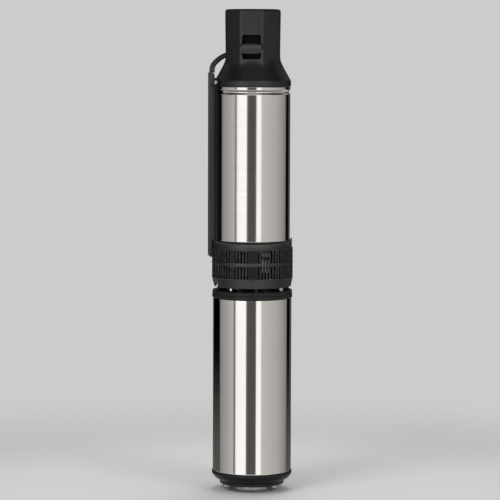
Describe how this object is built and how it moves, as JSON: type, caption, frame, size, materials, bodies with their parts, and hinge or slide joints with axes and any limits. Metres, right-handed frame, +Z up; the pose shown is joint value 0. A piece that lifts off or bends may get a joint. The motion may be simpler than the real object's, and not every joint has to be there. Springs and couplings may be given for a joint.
{
  "type": "borehole submersible pump",
  "caption": "Tall slim well pump: eight-sided threaded outlet with a rope bar, steel pump tube, slotted intake strainer, side cable guard and a smooth steel motor tube below.",
  "frame": {"origin": "centre of the under side of the diaphragm cover, the lowest point, on the shaft axis", "axes": "+Z up the shaft towards the outlet, -Y to the front with the rope bar, -X to the cable guard"},
  "size_m": [0.104, 0.1945, 0.5822],
  "materials": {
    "shell_steel": "finely brushed round the tube",
    "bright_steel": "plain bright",
    "shaft_steel": "ground",
    "black_plastic": "satin moulded",
    "pale_plastic": "moulded",
    "black_rubber": "matt",
    "lead_jacket": "satin",
    "copper_wire": "enamelled wire",
    "core_iron": "stacked sheet",
    "bearing_carbon": "polished carbon"
  },
  "bodies": {
    "pump": {"lower_end_bell": "black_plastic", "bottom_screw_1": "bright_steel", "bottom_screw_2": "bright_steel", "bottom_screw_3": "bright_steel", "diaphragm_cover": "bright_steel", "diaphragm": "black_rubber", "motor_shell": "shell_steel", "upper_end_bell": "black_plastic", "motor_stud_1": "bright_steel", "motor_stud_2": "bright_steel", "motor_stud_3": "bright_steel", "motor_stud_4": "bright_steel", "stud_nut_1": "bright_steel", "stud_nut_2": "bright_steel", "stud_nut_3": "bright_steel", "stud_nut_4": "bright_steel", "stator_core": "core_iron", "lower_winding": "copper_wire", "upper_winding": "copper_wire", "lower_bearing": "bearing_carbon", "upper_bearing": "bearing_carbon", "thrust_bearing": "bearing_carbon", "shaft_seal": "black_rubber", "suction_bracket": "black_plastic", "intake_strainer": "black_plastic", "diffuser_1": "black_plastic", "diffuser_2": "black_plastic", "diffuser_3": "black_plastic", "diffuser_4": "black_plastic", "diffuser_5": "black_plastic", "pump_shell": "shell_steel", "upper_bearing_spider": "black_plastic", "upper_bearing_bush": "black_rubber", "discharge_head": "black_plastic", "head_seal": "black_rubber", "valve_seat": "pale_plastic", "valve_guide": "black_plastic", "check_valve_spring": "bright_steel", "cable_guard": "black_plastic", "guard_screw": "bright_steel", "lead_connector": "black_rubber", "motor_lead": "lead_jacket", "free_lead": "lead_jacket", "lead_coil": "lead_jacket"},
    "rotor": {"motor_shaft": "shaft_steel", "rotor_core": "core_iron", "thrust_disc": "shaft_steel", "sand_slinger": "black_rubber", "shaft_coupling": "shaft_steel", "pump_shaft": "shaft_steel", "bearing_sleeve": "shaft_steel", "shaft_nut": "bright_steel", "impeller_1": "pale_plastic", "impeller_2": "pale_plastic", "impeller_3": "pale_plastic", "impeller_4": "pale_plastic", "impeller_5": "pale_plastic"},
    "poppet": {"check_valve_poppet": "pale_plastic"}
  },
  "joints": [
    {"name": "rotor_spin", "type": "hinge", "parent": "pump", "child": "rotor", "pos_m": [0, 0, 0.27], "axis": [0, 0, 1], "continuous": true},
    {"name": "poppet_lift", "type": "slide", "parent": "pump", "child": "poppet", "axis": [0, 0, 1], "range_m": [0, 0.008], "stiffness_N_per_m": 150, "springref_m": -0.012, "deforming": ["check_valve_spring"]}
  ]
}
